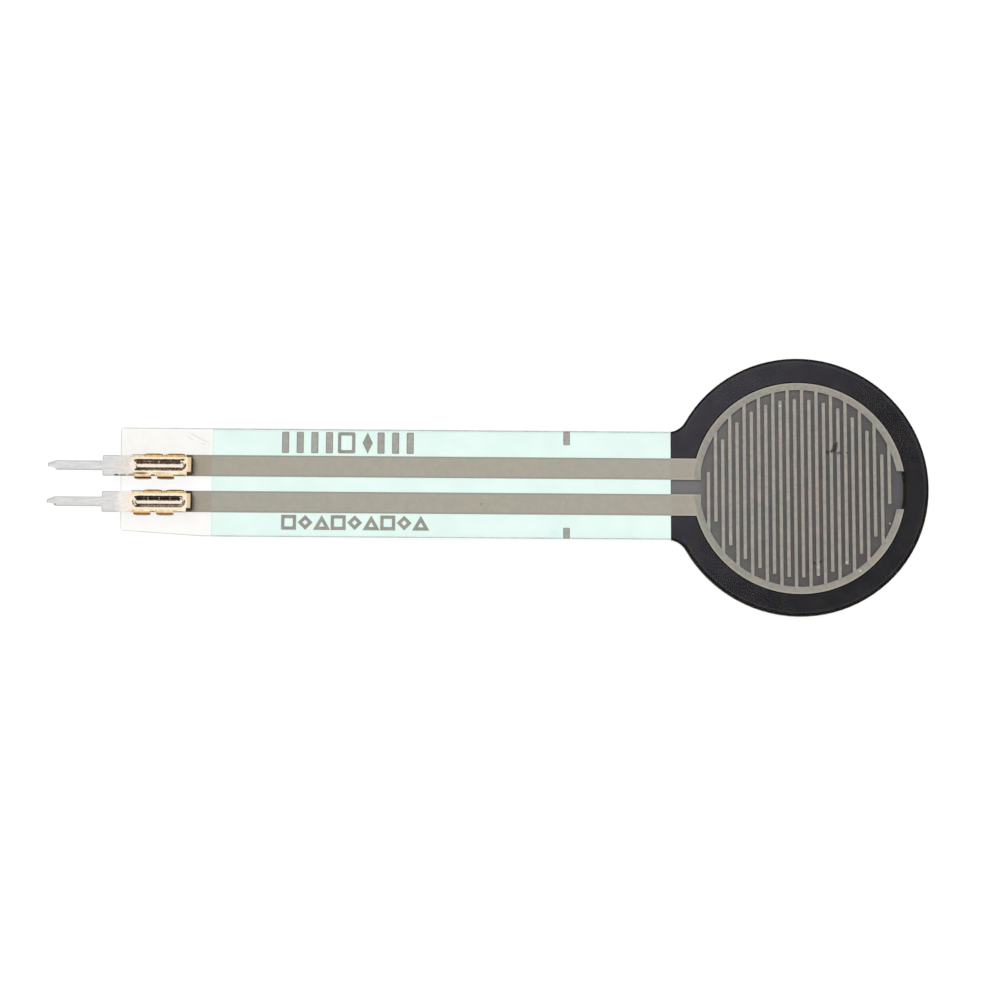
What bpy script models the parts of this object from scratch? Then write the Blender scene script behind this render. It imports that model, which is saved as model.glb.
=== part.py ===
"""Round force sensing resistor with a straight tail and two crimped solder contacts.

A clear electrode film carries two interleaved silver combs on its underside. A
spacer holds it off a carbon coated film, and pressing the disc bridges the combs
through the carbon. The contacts are stamped sheet metal: their teeth pierce the
tail and curl under it.

Frame: origin on the rear face at the disc's centre, +X away from the tail,
+Z towards the electrode film. All sizes are in metres.
"""

import math

import bmesh
import bpy
from mathutils import Vector

# Cut outline of the films; the tail is three contact pitches wide
CONTACT_PITCH = 0.00254
DISC_RADIUS = 0.00914
TAIL_WIDTH = 3 * CONTACT_PITCH
TAIL_LENGTH = 0.04731
NECK_FILLET = 0.00145
TAIL_CORNER = 0.0002
END_SLANT = 0.00012
TAPER_LENGTH = 0.0056
TAPER_DEPTH = 0.00035
NECK_OVERLAP = 0.00024

# Layers, from the rear face up
REAR_ADHESIVE_THICKNESS = 0.00005
RESISTIVE_FILM_THICKNESS = 0.00012
CARBON_THICKNESS = 0.00001
SPACER_THICKNESS = 0.00013
SILVER_THICKNESS = 0.00001
ELECTRODE_FILM_THICKNESS = 0.000125
TAIL_COVER_THICKNESS = 0.00002
LAYER_GAP = 0.000003

# Spacer: how far its opening lies inside the ring's outer edge, and its vent
OPENING_INSET = 0.00014
VENT_WIDTH = 0.0016

# Silver print, centred on the combs
PRINT_SHIFT_X = 0.00003
PRINT_SHIFT_Y = -0.00009
RIM_WIDTH = 0.00166
RING_WIDTH = 0.0005
UPPER_RING_END = 0.00124
LOWER_RING_END = 0.00145
FINGER_PITCH = 0.000508
FINGER_WIDTH = 0.00023
FINGER_CORNER = 0.00005
LAST_FINGER_INSET = 0.0004
FREE_END_GAP = 0.00065
SHORTEST_REACH = 0.00108
TRACE_WIDTH = 0.00151
TRACE_OVERRUN = 0.0001
TRACE_MARGIN = 0.0007

# Green cover: the bare length at the tail's end, and the gap at the neck
BARE_END = 0.00628
COVER_GAP = 0.00002

# Registration ticks, beyond the disc's edge
TICK_WIDTH = 0.000457
TICK_DISTANCE = 0.00715
UPPER_TICK_LENGTH = 0.00096
LOWER_TICK_LENGTH = 0.00075
EDGE_INSET = 0.00003

# Code bars along the upper margin, from the tail's end
BAR_START = 0.01138
BAR_WIDTH = 0.00049
BAR_PITCH = 0.001021
BAR_EDGE_GAP = 0.00019
BAR_TRACE_GAP = 0.000185
BAR_CORNER = 0.00006
LEFT_BARS = 4
RIGHT_BARS = 3

# Open frame and lozenge between the two groups of bars
FRAME_GAP = 0.00035
FRAME_WIDTH = 0.00122
FRAME_STROKE = 0.00023
LOZENGE_GAP = 0.0005
LOZENGE_WIDTH = 0.00072
RIGHT_BARS_GAP = 0.00033

# Plain shapes along the lower margin, from the tail's end
SHAPE_START = 0.01168
SHAPE_GAP = 0.00011
SHAPE_EDGE_GAP = 0.00051
SHAPE_TRACE_GAP = 0.000145
SHAPE_STROKE_SHARE = 0.22
SHAPE_COUNT = 9

# Contacts, measured from the tail's end unless said otherwise
CONTACT_SHIFT = -0.00014
SHEET_THICKNESS = 0.0002
BEND_INSIDE = 0.00002
PIN_WIDTH = 0.00064
PIN_REACH = 0.00506
PIN_TIP_WIDTH = 0.00026
PIN_TIP_LENGTH = 0.00055
SHOULDER_REACH = 0.00126
SHOULDER_CORNER = 0.00008
PLATE_WIDTH = 0.00143
PLATE_REACH = 0.00458
TAB_WIDTH = 0.00101
TAB_SHIFT = 0.00009
TAB_LENGTH = 0.0004
TROUGH_LENGTH = 0.00368
TROUGH_WIDTH = 0.00081
TROUGH_SHIFT = 0.00005
TROUGH_MARGIN = 0.00004
TROUGH_WALL = 0.00008
TROUGH_FILLET = 0.00006
EDGE_BEVEL = 0.000015

# Teeth, two on each long side of a contact, with their ends set back
TEETH_PER_SIDE = 2
UPPER_TOOTH_WIDTH = 0.00121
LOWER_TOOTH_WIDTH = 0.00117
UPPER_TOOTH_GAP = 0.00033
LOWER_TOOTH_GAP = 0.00042
UPPER_TOOTH_MARGIN = 0.00017
LOWER_TOOTH_MARGIN = 0.00089
TOOTH_PROUD = 0.00017
TOOTH_RELIEF = 0.00003
TOOTH_ROOT = 0.00002
TOOTH_SET_BACK = 0.00003
TOOTH_SHOULDER = 0.6
TOOTH_TIP_SHARE = 0.45
TIP_GAP = 0.00001
FLOOR_CLEARANCE = 0.000012
SLIT_CLEARANCE = 0.00002

# Fineness of round stretches
ARC_STEP = math.radians(4)
CORNER_STEPS = 3
BEND_STEPS = 5
FILLET_STEPS = 2
HOOK_STEPS = 9
TROUGH_END_STEPS = 10
SHARP_ANGLE = math.radians(35)

# Heights that follow from the layers
RESISTIVE_FILM_Z = REAR_ADHESIVE_THICKNESS + LAYER_GAP
CARBON_Z = RESISTIVE_FILM_Z + RESISTIVE_FILM_THICKNESS + LAYER_GAP
SPACER_Z = CARBON_Z + CARBON_THICKNESS + LAYER_GAP
SILVER_Z = SPACER_Z + SPACER_THICKNESS + LAYER_GAP
ELECTRODE_FILM_Z = SILVER_Z + SILVER_THICKNESS + LAYER_GAP
FILM_TOP_Z = ELECTRODE_FILM_Z + ELECTRODE_FILM_THICKNESS
TAIL_COVER_Z = SILVER_Z - LAYER_GAP - TAIL_COVER_THICKNESS

# Print and opening sizes that follow from the disc and the traces
RING_RADIUS = DISC_RADIUS - RIM_WIDTH
RING_INSIDE = RING_RADIUS - RING_WIDTH
OPENING_RADIUS = RING_RADIUS - OPENING_INSET
HALF_FINGERS = int((RING_INSIDE - LAST_FINGER_INSET) / FINGER_PITCH + 0.5)
TRACE_TOP = CONTACT_PITCH / 2 + TRACE_WIDTH / 2
TRACE_BOTTOM = CONTACT_PITCH / 2 - TRACE_WIDTH / 2
BAR_TOP = TAIL_WIDTH / 2 - PRINT_SHIFT_Y - BAR_EDGE_GAP
BAR_FOOT = TRACE_TOP + BAR_TRACE_GAP
SHAPE_TOP = -TRACE_TOP - SHAPE_TRACE_GAP
SHAPE_FOOT = -TAIL_WIDTH / 2 - PRINT_SHIFT_Y + SHAPE_EDGE_GAP
SHAPE_HEIGHT = SHAPE_TOP - SHAPE_FOOT
SHAPE_STROKE = SHAPE_HEIGHT * SHAPE_STROKE_SHARE
TAIL_END = -TAIL_LENGTH - PRINT_SHIFT_X

# Sizes that follow from the sheet metal
BEND_OUTSIDE = SHEET_THICKNESS + BEND_INSIDE
TROUGH_DEPTH = BEND_OUTSIDE + TROUGH_WALL + TROUGH_FILLET
PLATE_TOP_Z = FILM_TOP_Z + LAYER_GAP + SHEET_THICKNESS + TROUGH_DEPTH
HOOK_RADIUS = SILVER_Z - TIP_GAP - FLOOR_CLEARANCE
HOOK_CENTRE_Z = FLOOR_CLEARANCE + HOOK_RADIUS
TOOTH_REACH = PLATE_WIDTH / 2 + TOOTH_PROUD
TOOTH_ROOT_REACH = TOOTH_REACH - BEND_OUTSIDE - TOOTH_SET_BACK - TOOTH_ROOT
TOOTH_STATIONS = (
    (-1.0, TOOTH_SET_BACK),
    (-TOOTH_SHOULDER, 0.0),
    (TOOTH_SHOULDER, 0.0),
    (1.0, TOOTH_SET_BACK),
)


def clear_scene():
    for thing in list(bpy.data.objects):
        bpy.data.objects.remove(thing, do_unlink=True)


def new_collection(name):
    collection = bpy.data.collections.new(name)
    bpy.context.scene.collection.children.link(collection)
    return collection


def finish_of(name, colour, roughness, metallic=0.0, alpha=1.0):
    finish = bpy.data.materials.new(name)
    finish.use_nodes = True
    shader = finish.node_tree.nodes["Principled BSDF"]
    shader.inputs["Base Color"].default_value = (*colour, 1.0)
    shader.inputs["Roughness"].default_value = roughness
    shader.inputs["Metallic"].default_value = metallic
    shader.inputs["Alpha"].default_value = alpha
    return finish


def arc(centre, radius, start, end, steps=0):
    """Points along a circle from one angle to another, both ends included."""
    steps = steps or max(2, math.ceil(abs(end - start) / ARC_STEP))
    angles = [start + (end - start) * i / steps for i in range(steps + 1)]
    return [
        (centre[0] + radius * math.cos(angle), centre[1] + radius * math.sin(angle))
        for angle in angles
    ]


def mirrored(points):
    """The same points below the X axis, in reverse order."""
    return [(x, -y) for x, y in reversed(points)]


def shifted(points, dx, dy):
    return [(x + dx, y + dy) for x, y in points]


def rounded_rectangle(left, bottom, right, top, corner):
    quarter = math.pi / 2
    centres = [
        (right - corner, bottom + corner),
        (right - corner, top - corner),
        (left + corner, top - corner),
        (left + corner, bottom + corner),
    ]
    points = []
    for turn, centre in enumerate(centres):
        start = (turn - 1) * quarter
        points += arc(centre, corner, start, start + quarter, CORNER_STEPS)
    return points


def sheet(collection, name, loops, bottom, thickness, finish):
    """A flat layer from closed loops in plan view; a loop inside another is a hole."""
    curve = bpy.data.curves.new(name, "CURVE")
    curve.dimensions = "2D"
    curve.fill_mode = "BOTH"
    curve.extrude = thickness / 2
    for loop in loops:
        spline = curve.splines.new("POLY")
        spline.points.add(len(loop) - 1)
        for point, (x, y) in zip(spline.points, loop):
            point.co = (x, y, 0.0, 1.0)
        spline.use_cyclic_u = True
    curve.materials.append(finish)
    layer = bpy.data.objects.new(name, curve)
    layer.location.z = bottom + thickness / 2
    collection.objects.link(layer)
    return layer


def as_mesh(collection, layer):
    """Turns a flat layer into a closed mesh that a Boolean can cut."""
    bpy.context.view_layer.update()
    name = layer.name
    evaluated = layer.evaluated_get(bpy.context.evaluated_depsgraph_get())
    mesh = bpy.data.meshes.new_from_object(evaluated)
    weld = bmesh.new()
    weld.from_mesh(mesh)
    bmesh.ops.remove_doubles(weld, verts=weld.verts, dist=1e-7)
    bmesh.ops.recalc_face_normals(weld, faces=weld.faces)
    weld.to_mesh(mesh)
    weld.free()
    place = layer.matrix_world.copy()
    bpy.data.objects.remove(layer, do_unlink=True)
    solid = bpy.data.objects.new(name, mesh)
    solid.matrix_world = place
    collection.objects.link(solid)
    return solid


def cut(solid, cutter):
    boolean = solid.modifiers.new("cut", "BOOLEAN")
    boolean.operation = "DIFFERENCE"
    boolean.solver = "EXACT"
    boolean.object = cutter


def fillet_place():
    """Distance of the neck fillets' centres from the disc's centre along X."""
    reach = DISC_RADIUS + NECK_FILLET
    rise = TAIL_WIDTH / 2 + NECK_FILLET
    return math.sqrt(reach**2 - rise**2)


def neck_edge():
    """Distance of the lower layers' straight cut from the disc's centre."""
    return fillet_place() - NECK_OVERLAP


def upper_head(neck):
    """Upper half of the disc, running over its fillet to a straight cut at the neck."""
    across = fillet_place()
    rise = TAIL_WIDTH / 2 + NECK_FILLET
    tangent = math.atan2(rise, across)
    stop = math.acos((across - neck) / NECK_FILLET)
    points = arc((0, 0), DISC_RADIUS, 0, math.pi - tangent)
    return points + arc((-across, rise), NECK_FILLET, -tangent, -stop)[1:]


def head_outline():
    upper = upper_head(neck_edge())
    return upper + mirrored(upper)[:-1]


def film_outline():
    half = TAIL_WIDTH / 2
    end = -TAIL_LENGTH
    upper = upper_head(fillet_place())
    corner = TAIL_CORNER
    low = -half + TAPER_DEPTH
    quarter = math.pi / 2
    high_centre = (end - END_SLANT + corner, half - corner)
    low_centre = (end + corner, low + corner)
    tail = arc(high_centre, corner, quarter, 2 * quarter, CORNER_STEPS)
    tail += arc(low_centre, corner, 2 * quarter, 3 * quarter, CORNER_STEPS)
    tail.append((end + TAPER_LENGTH, -half))
    return upper + tail + mirrored(upper)[:-1]


def spacer_outline():
    """The head with a round opening that a vent joins to the neck's cut edge."""
    half_vent = VENT_WIDTH / 2
    opening = math.pi - math.asin(half_vent / OPENING_RADIUS)
    centre = (PRINT_SHIFT_X, PRINT_SHIFT_Y)
    upper = upper_head(neck_edge())
    inner = arc(centre, OPENING_RADIUS, opening, -opening)
    mouth_top = [(-neck_edge(), PRINT_SHIFT_Y + half_vent)]
    mouth_bottom = [(-neck_edge(), PRINT_SHIFT_Y - half_vent)]
    return upper + mouth_top + inner + mouth_bottom + mirrored(upper)[:-1]


def cover_outline():
    half = TAIL_WIDTH / 2
    left = -TAIL_LENGTH + BARE_END
    right = -neck_edge() - COVER_GAP
    slope = TAPER_DEPTH / TAPER_LENGTH
    low = -half + max(0.0, slope * (TAPER_LENGTH - BARE_END))
    outline = [(left, half), (left, low)]
    if BARE_END < TAPER_LENGTH:
        outline.append((-TAIL_LENGTH + TAPER_LENGTH, -half))
    across = fillet_place()
    stop = math.acos((across + right) / NECK_FILLET)
    centre = (-across, -half - NECK_FILLET)
    bottom = arc(centre, NECK_FILLET, math.pi / 2, stop, CORNER_STEPS)
    return outline + bottom + mirrored(bottom)


def comb_outline(side):
    """One electrode in plan view: trace, ring arc and the fingers that hang from it.

    side is 1 for the upper electrode and -1 for the lower one. The outline is
    drawn as the upper one and mirrored for the lower one.
    """
    outer = RING_RADIUS
    inner = RING_INSIDE
    ring_end = UPPER_RING_END if side > 0 else LOWER_RING_END
    trace_left = TAIL_END + TRACE_MARGIN

    points = [(trace_left, TRACE_BOTTOM), (trace_left, TRACE_TOP)]
    start = math.pi - math.asin(TRACE_TOP / outer)
    points += arc((0, 0), outer, start, math.asin(ring_end / outer))

    angle = math.asin(ring_end / inner)
    for centre in finger_places(side):
        right = centre + FINGER_WIDTH / 2
        left = centre - FINGER_WIDTH / 2
        points += arc((0, 0), inner, angle, math.acos(right / inner))
        points += finger_end(left, right, -free_reach(centre))
        angle = math.acos(left / inner)
    trace_stop = inner - TRACE_OVERRUN
    points += arc((0, 0), inner, angle, math.acos(-trace_stop / inner))
    points.append((-trace_stop, TRACE_BOTTOM))
    return [(x, y * side) for x, y in points]


def finger_places(side):
    """Centres of one comb's fingers, right to left; the two combs take turns."""
    first = HALF_FINGERS - (0.5 if side > 0 else 1.5)
    return [(first - 2 * i) * FINGER_PITCH for i in range(HALF_FINGERS)]


def free_reach(centre):
    """How far a finger's free end lies beyond the combs' middle line."""
    under_root = max(0.0, (RING_INSIDE - FREE_END_GAP) ** 2 - centre**2)
    return max(SHORTEST_REACH, math.sqrt(under_root))


def finger_end(left, right, end):
    corner = FINGER_CORNER
    turn = arc((right - corner, end + corner), corner, 0, -math.pi / 2, FILLET_STEPS)
    back = arc((left + corner, end + corner), corner, -math.pi / 2, -math.pi, FILLET_STEPS)
    return turn + back


def racetrack(left, right, middle, radius):
    """Points round a slot shape whose end circles have the given radius."""
    quarter = math.pi / 2
    points = arc((right, middle), radius, -quarter, quarter, TROUGH_END_STEPS)
    points += arc((left, middle), radius, quarter, 3 * quarter, TROUGH_END_STEPS)
    return points


def trough_rings():
    """Inset from the rim and depth of each ring of the pressed trough."""
    rings = []
    for i in range(1, BEND_STEPS + 1):
        angle = math.pi / 2 * i / BEND_STEPS
        inset = BEND_OUTSIDE * math.sin(angle)
        rings.append((inset, BEND_OUTSIDE * (1 - math.cos(angle))))
    wall_foot = BEND_OUTSIDE + TROUGH_WALL
    for i in range(FILLET_STEPS + 1):
        angle = math.pi / 2 * i / FILLET_STEPS
        inset = BEND_OUTSIDE + TROUGH_FILLET * (1 - math.cos(angle))
        rings.append((inset, wall_foot + TROUGH_FILLET * math.sin(angle)))
    return rings


def tooth_width(side):
    return UPPER_TOOTH_WIDTH if side > 0 else LOWER_TOOTH_WIDTH


def tooth_places(side):
    """Centres along X of the teeth on one long side of a contact."""
    margin = UPPER_TOOTH_MARGIN if side > 0 else LOWER_TOOTH_MARGIN
    pitch = tooth_width(side) + (UPPER_TOOTH_GAP if side > 0 else LOWER_TOOTH_GAP)
    last = -TAIL_LENGTH + PLATE_REACH - margin - tooth_width(side) / 2
    return [last - i * pitch for i in reversed(range(TEETH_PER_SIDE))]


def tooth_path():
    """Outer face of a tooth: distance from the contact's middle, height and width share."""
    leg = TOOTH_REACH
    bend_z = PLATE_TOP_Z - BEND_OUTSIDE
    path = [(leg - BEND_OUTSIDE, PLATE_TOP_Z, 1.0)]
    for i in range(1, BEND_STEPS + 1):
        angle = math.pi / 2 * i / BEND_STEPS
        away = leg - BEND_OUTSIDE * (1 - math.sin(angle))
        path.append((away, bend_z + BEND_OUTSIDE * math.cos(angle), 1.0))
    for i in range(HOOK_STEPS + 1):
        share = i / HOOK_STEPS
        angle = math.pi * share
        away = leg - HOOK_RADIUS * (1 - math.cos(angle))
        width = 1.0 - (1.0 - TOOTH_TIP_SHARE) * share
        path.append((away, HOOK_CENTRE_Z - HOOK_RADIUS * math.sin(angle), width))
    return path


def contact_side(side):
    """Long edge of the plate, stepping in at each tooth's root, from left to right."""
    edge = PLATE_WIDTH / 2
    root = TOOTH_ROOT_REACH
    points = []
    half = tooth_width(side) / 2
    for centre in tooth_places(side):
        left = centre - half - TOOTH_RELIEF
        right = centre + half + TOOTH_RELIEF
        points += [(left, edge * side), (left, root * side)]
        points += [(centre + half * station, root * side) for station, _ in TOOTH_STATIONS]
        points += [(right, root * side), (right, edge * side)]
    return points


def contact_outline():
    """Flat outline of a contact's sheet: pin, shoulders, plate and root of the end tab."""
    end = -TAIL_LENGTH
    tip = end - PIN_REACH
    shoulder = end - SHOULDER_REACH
    plate_end = end + PLATE_REACH
    half_plate = PLATE_WIDTH / 2
    corner = SHOULDER_CORNER
    low_centre = (shoulder + corner, -half_plate + corner)
    high_centre = (shoulder + corner, half_plate - corner)

    points = [(tip, -PIN_TIP_WIDTH / 2), (tip + PIN_TIP_LENGTH, -PIN_WIDTH / 2)]
    points.append((shoulder, -PIN_WIDTH / 2))
    points += arc(low_centre, corner, math.pi, 1.5 * math.pi, CORNER_STEPS)
    points += contact_side(-1)
    points.append((plate_end, -half_plate))
    points.append((plate_end, TAB_SHIFT - TAB_WIDTH / 2))
    points.append((plate_end, TAB_SHIFT + TAB_WIDTH / 2))
    points.append((plate_end, half_plate))
    points += contact_side(1)[::-1]
    points += arc(high_centre, corner, math.pi / 2, math.pi, CORNER_STEPS)
    points.append((shoulder, PIN_WIDTH / 2))
    points += [(tip + PIN_TIP_LENGTH, PIN_WIDTH / 2), (tip, PIN_TIP_WIDTH / 2)]
    return points


def closed_loop(surface, points, z):
    corners = [surface.verts.new((x, y, z)) for x, y in points]
    for i, corner in enumerate(corners):
        surface.edges.new((corner, corners[(i + 1) % len(corners)]))
    return corners


def bridge(surface, first, second, closed):
    """Quads between two rows of corners of equal length."""
    count = len(first)
    for i in range(count if closed else count - 1):
        j = (i + 1) % count
        surface.faces.new((first[i], first[j], second[j], second[i]))


def press_trough(surface, rim, left, right):
    ring = rim
    radius = TROUGH_WIDTH / 2
    for inset, depth in trough_rings():
        points = racetrack(left, right, TROUGH_SHIFT, radius - inset)
        lower = [surface.verts.new((x, y, PLATE_TOP_Z - depth)) for x, y in points]
        bridge(surface, ring, lower, True)
        ring = lower
    surface.faces.new(ring)


def corner_at(corners, x, y):
    target = Vector((x, y, PLATE_TOP_Z))
    return min(corners, key=lambda corner: (corner.co - target).length)


def bend_tooth(surface, corners, centre, side):
    half = tooth_width(side) / 2
    root = TOOTH_ROOT_REACH * side
    row = [corner_at(corners, centre + half * station, root) for station, _ in TOOTH_STATIONS]
    for away, z, share in tooth_path():
        lower = []
        for station, set_back in TOOTH_STATIONS:
            x = centre + half * share * station
            lower.append(surface.verts.new((x, (away - set_back) * side, z)))
        bridge(surface, row, lower, False)
        row = lower


def bend_tab(surface, corners):
    """The end tab turns down to the film behind the plate."""
    start = -TAIL_LENGTH + PLATE_REACH
    sides = [TAB_SHIFT - TAB_WIDTH / 2, TAB_SHIFT + TAB_WIDTH / 2]
    row = [corner_at(corners, start, y) for y in sides]
    bend_x = start + TAB_LENGTH - BEND_OUTSIDE
    path = [(bend_x, PLATE_TOP_Z)]
    for i in range(1, BEND_STEPS + 1):
        angle = math.pi / 2 * i / BEND_STEPS
        x = bend_x + BEND_OUTSIDE * math.sin(angle)
        path.append((x, PLATE_TOP_Z - BEND_OUTSIDE * (1 - math.cos(angle))))
    path.append((bend_x + BEND_OUTSIDE, FILM_TOP_Z + LAYER_GAP))
    for x, z in path:
        lower = [surface.verts.new((x, y, z)) for y in sides]
        bridge(surface, row, lower, False)
        row = lower


def contact_mesh():
    """Upper face of the stamped and bent sheet, as one open surface."""
    surface = bmesh.new()
    corners = closed_loop(surface, contact_outline(), PLATE_TOP_Z)
    radius = TROUGH_WIDTH / 2
    right = -TAIL_LENGTH + PLATE_REACH - TROUGH_MARGIN - radius
    left = right - TROUGH_LENGTH + 2 * radius
    rim_points = racetrack(left, right, TROUGH_SHIFT, radius)
    rim = closed_loop(surface, rim_points, PLATE_TOP_Z)
    bmesh.ops.triangle_fill(surface, use_beauty=True, edges=surface.edges[:])
    press_trough(surface, rim, left, right)
    for side in (-1, 1):
        for centre in tooth_places(side):
            bend_tooth(surface, corners, centre, side)
    bend_tab(surface, corners)
    bmesh.ops.recalc_face_normals(surface, faces=surface.faces)
    mesh = bpy.data.meshes.new("contact")
    face_up(surface)
    surface.to_mesh(mesh)
    surface.free()
    return mesh


def face_up(surface):
    """Turns the surface over if its largest level face looks down."""
    level = max(surface.faces, key=lambda face: abs(face.normal.z) * face.calc_area())
    if level.normal.z < 0:
        bmesh.ops.reverse_faces(surface, faces=surface.faces)


def make_contact(collection, name, mesh, middle, finish):
    contact = bpy.data.objects.new(name, mesh.copy())
    contact.location.y = middle
    contact.data.materials.append(finish)
    collection.objects.link(contact)
    return contact


def thicken(collection, surface):
    """Gives the sheet its thickness and worn edges, and keeps its edges sharp."""
    blank = bpy.data.objects.new("blank", surface)
    collection.objects.link(blank)
    solidify = blank.modifiers.new("sheet metal", "SOLIDIFY")
    solidify.thickness = SHEET_THICKNESS
    solidify.offset = -1.0
    solidify.use_even_offset = True
    solidify.use_quality_normals = True
    bevel = blank.modifiers.new("worn edges", "BEVEL")
    bevel.width = EDGE_BEVEL
    bevel.segments = 1
    bevel.limit_method = "ANGLE"
    bevel.angle_limit = math.radians(60)
    bpy.context.view_layer.update()
    evaluated = blank.evaluated_get(bpy.context.evaluated_depsgraph_get())
    mesh = bpy.data.meshes.new_from_object(evaluated)
    bpy.data.objects.remove(blank, do_unlink=True)
    mesh.shade_smooth()
    mesh.set_sharp_from_angle(angle=SHARP_ANGLE)
    return mesh


def contact_middle(side):
    return side * CONTACT_PITCH / 2 + PRINT_SHIFT_Y + CONTACT_SHIFT


def slit_cutter(collection):
    """One box for each tooth, through the film and the silver."""
    boxes = bmesh.new()
    low = SILVER_Z - SHEET_THICKNESS
    high = FILM_TOP_Z + SHEET_THICKNESS
    metal = SHEET_THICKNESS + TOOTH_SET_BACK
    across = metal + 2 * SLIT_CLEARANCE
    leg = TOOTH_REACH - metal / 2
    for row in (-1, 1):
        for side in (-1, 1):
            y = contact_middle(row) + side * leg
            along = tooth_width(side) + 2 * SLIT_CLEARANCE
            for x in tooth_places(side):
                box = bmesh.ops.create_cube(boxes, size=1.0)["verts"]
                for corner in box:
                    corner.co.x = corner.co.x * along + x
                    corner.co.y = corner.co.y * across + y
                    corner.co.z = corner.co.z * (high - low) + (high + low) / 2
    mesh = bpy.data.meshes.new("tooth_slits")
    boxes.to_mesh(mesh)
    boxes.free()
    cutter = bpy.data.objects.new("tooth_slits", mesh)
    cutter.hide_render = True
    cutter.display_type = "WIRE"
    collection.objects.link(cutter)
    return cutter


def tick(side, length):
    """A tick that starts at the tail's edge, just inside the cut."""
    edge = (TAIL_WIDTH / 2 - EDGE_INSET) * side - PRINT_SHIFT_Y
    inner = edge - length * side
    left = -DISC_RADIUS - TICK_DISTANCE - TICK_WIDTH / 2
    low, high = sorted((edge, inner))
    return rounded_rectangle(left, low, left + TICK_WIDTH, high, BAR_CORNER)


def bar(x):
    half = BAR_WIDTH / 2
    return rounded_rectangle(x - half, BAR_FOOT, x + half, BAR_TOP, BAR_CORNER)


def left_bars():
    return [TAIL_END + BAR_START + i * BAR_PITCH for i in range(LEFT_BARS)]


def frame_left():
    return left_bars()[-1] + BAR_WIDTH / 2 + FRAME_GAP


def lozenge_left():
    return frame_left() + FRAME_WIDTH + LOZENGE_GAP


def right_bars():
    first = lozenge_left() + LOZENGE_WIDTH + RIGHT_BARS_GAP + BAR_WIDTH / 2
    return [first + i * BAR_PITCH for i in range(RIGHT_BARS)]


def open_frame():
    left = frame_left()
    right = left + FRAME_WIDTH
    stroke = FRAME_STROKE
    inner = (left + stroke, BAR_FOOT + stroke, right - stroke, BAR_TOP - stroke)
    return [
        rounded_rectangle(left, BAR_FOOT, right, BAR_TOP, BAR_CORNER * 2),
        rounded_rectangle(*inner, BAR_CORNER),
    ]


def lozenge():
    left = lozenge_left()
    middle = left + LOZENGE_WIDTH / 2
    line = (BAR_FOOT + BAR_TOP) / 2
    return [(left + LOZENGE_WIDTH, line), (middle, BAR_TOP), (left, line), (middle, BAR_FOOT)]


def regular_shape(x, y, sides, radius, turn):
    """An open regular shape: its outer and inner loops, a stroke apart."""
    inner = radius - SHAPE_STROKE / math.cos(math.pi / sides)
    loops = []
    for size in (radius, inner):
        angles = [turn + 2 * math.pi * i / sides for i in range(sides)]
        loops.append([(x + size * math.cos(a), y + size * math.sin(a)) for a in angles])
    return loops


def margin_shape(index):
    """Squares, lozenges and triangles in turn along the lower margin."""
    half = SHAPE_HEIGHT / 2
    x = TAIL_END + SHAPE_START + index * (SHAPE_HEIGHT + SHAPE_GAP)
    y = SHAPE_FOOT + half
    if index % 3 == 0:
        return "square", regular_shape(x, y, 4, half * math.sqrt(2), math.pi / 4)
    if index % 3 == 1:
        return "lozenge", regular_shape(x, y, 4, half, 0.0)
    radius = SHAPE_HEIGHT / 1.5
    return "triangle", regular_shape(x, y + half - radius, 3, radius, math.pi / 2)


def printed(collection, name, loops, finish):
    """A mark in silver on the film's underside, placed with the rest of the print."""
    moved = [shifted(loop, PRINT_SHIFT_X, PRINT_SHIFT_Y) for loop in loops]
    return sheet(collection, name, moved, SILVER_Z, SILVER_THICKNESS, finish)


def make_layers(part):
    """The adhesive, the carbon coated film and the spacer, all cut to the head."""
    head = [head_outline()]
    adhesive = finish_of("adhesive", (0.12, 0.09, 0.06), 0.5)
    base = finish_of("base film", (0.05, 0.05, 0.055), 0.3)
    carbon = finish_of("carbon", (0.03, 0.03, 0.033), 0.45)
    spacer = finish_of("spacer adhesive", (0.04, 0.04, 0.045), 0.4, alpha=0.6)
    sheet(part, "rear_adhesive", head, 0.0, REAR_ADHESIVE_THICKNESS, adhesive)
    sheet(part, "resistive_film", head, RESISTIVE_FILM_Z, RESISTIVE_FILM_THICKNESS, base)
    sheet(part, "carbon_layer", head, CARBON_Z, CARBON_THICKNESS, carbon)
    sheet(part, "spacer", [spacer_outline()], SPACER_Z, SPACER_THICKNESS, spacer)


def make_tail_cover(part):
    cover = finish_of("tail cover", (0.8, 0.98, 0.92), 0.4, alpha=0.5)
    outline = [cover_outline()]
    sheet(part, "tail_cover", outline, TAIL_COVER_Z, TAIL_COVER_THICKNESS, cover)


def make_electrodes(part, slits, silver):
    for name, side in (("upper_electrode", 1), ("lower_electrode", -1)):
        electrode = as_mesh(part, printed(part, name, [comb_outline(side)], silver))
        cut(electrode, slits)


def make_electrode_film(part, slits):
    clear = finish_of("clear film", (0.95, 0.95, 0.93), 0.1, alpha=0.25)
    outline = [film_outline()]
    thickness = ELECTRODE_FILM_THICKNESS
    film = sheet(part, "electrode_film", outline, ELECTRODE_FILM_Z, thickness, clear)
    cut(as_mesh(part, film), slits)


def make_marks(part, silver):
    printed(part, "upper_tick", [tick(1, UPPER_TICK_LENGTH)], silver)
    printed(part, "lower_tick", [tick(-1, LOWER_TICK_LENGTH)], silver)
    for number, x in enumerate(left_bars() + right_bars(), 1):
        printed(part, f"code_bar_{number}", [bar(x)], silver)
    printed(part, "code_frame", open_frame(), silver)
    printed(part, "code_lozenge", [lozenge()], silver)
    for index in range(SHAPE_COUNT):
        kind, loops = margin_shape(index)
        printed(part, f"margin_{kind}_{index + 1}", loops, silver)


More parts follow.
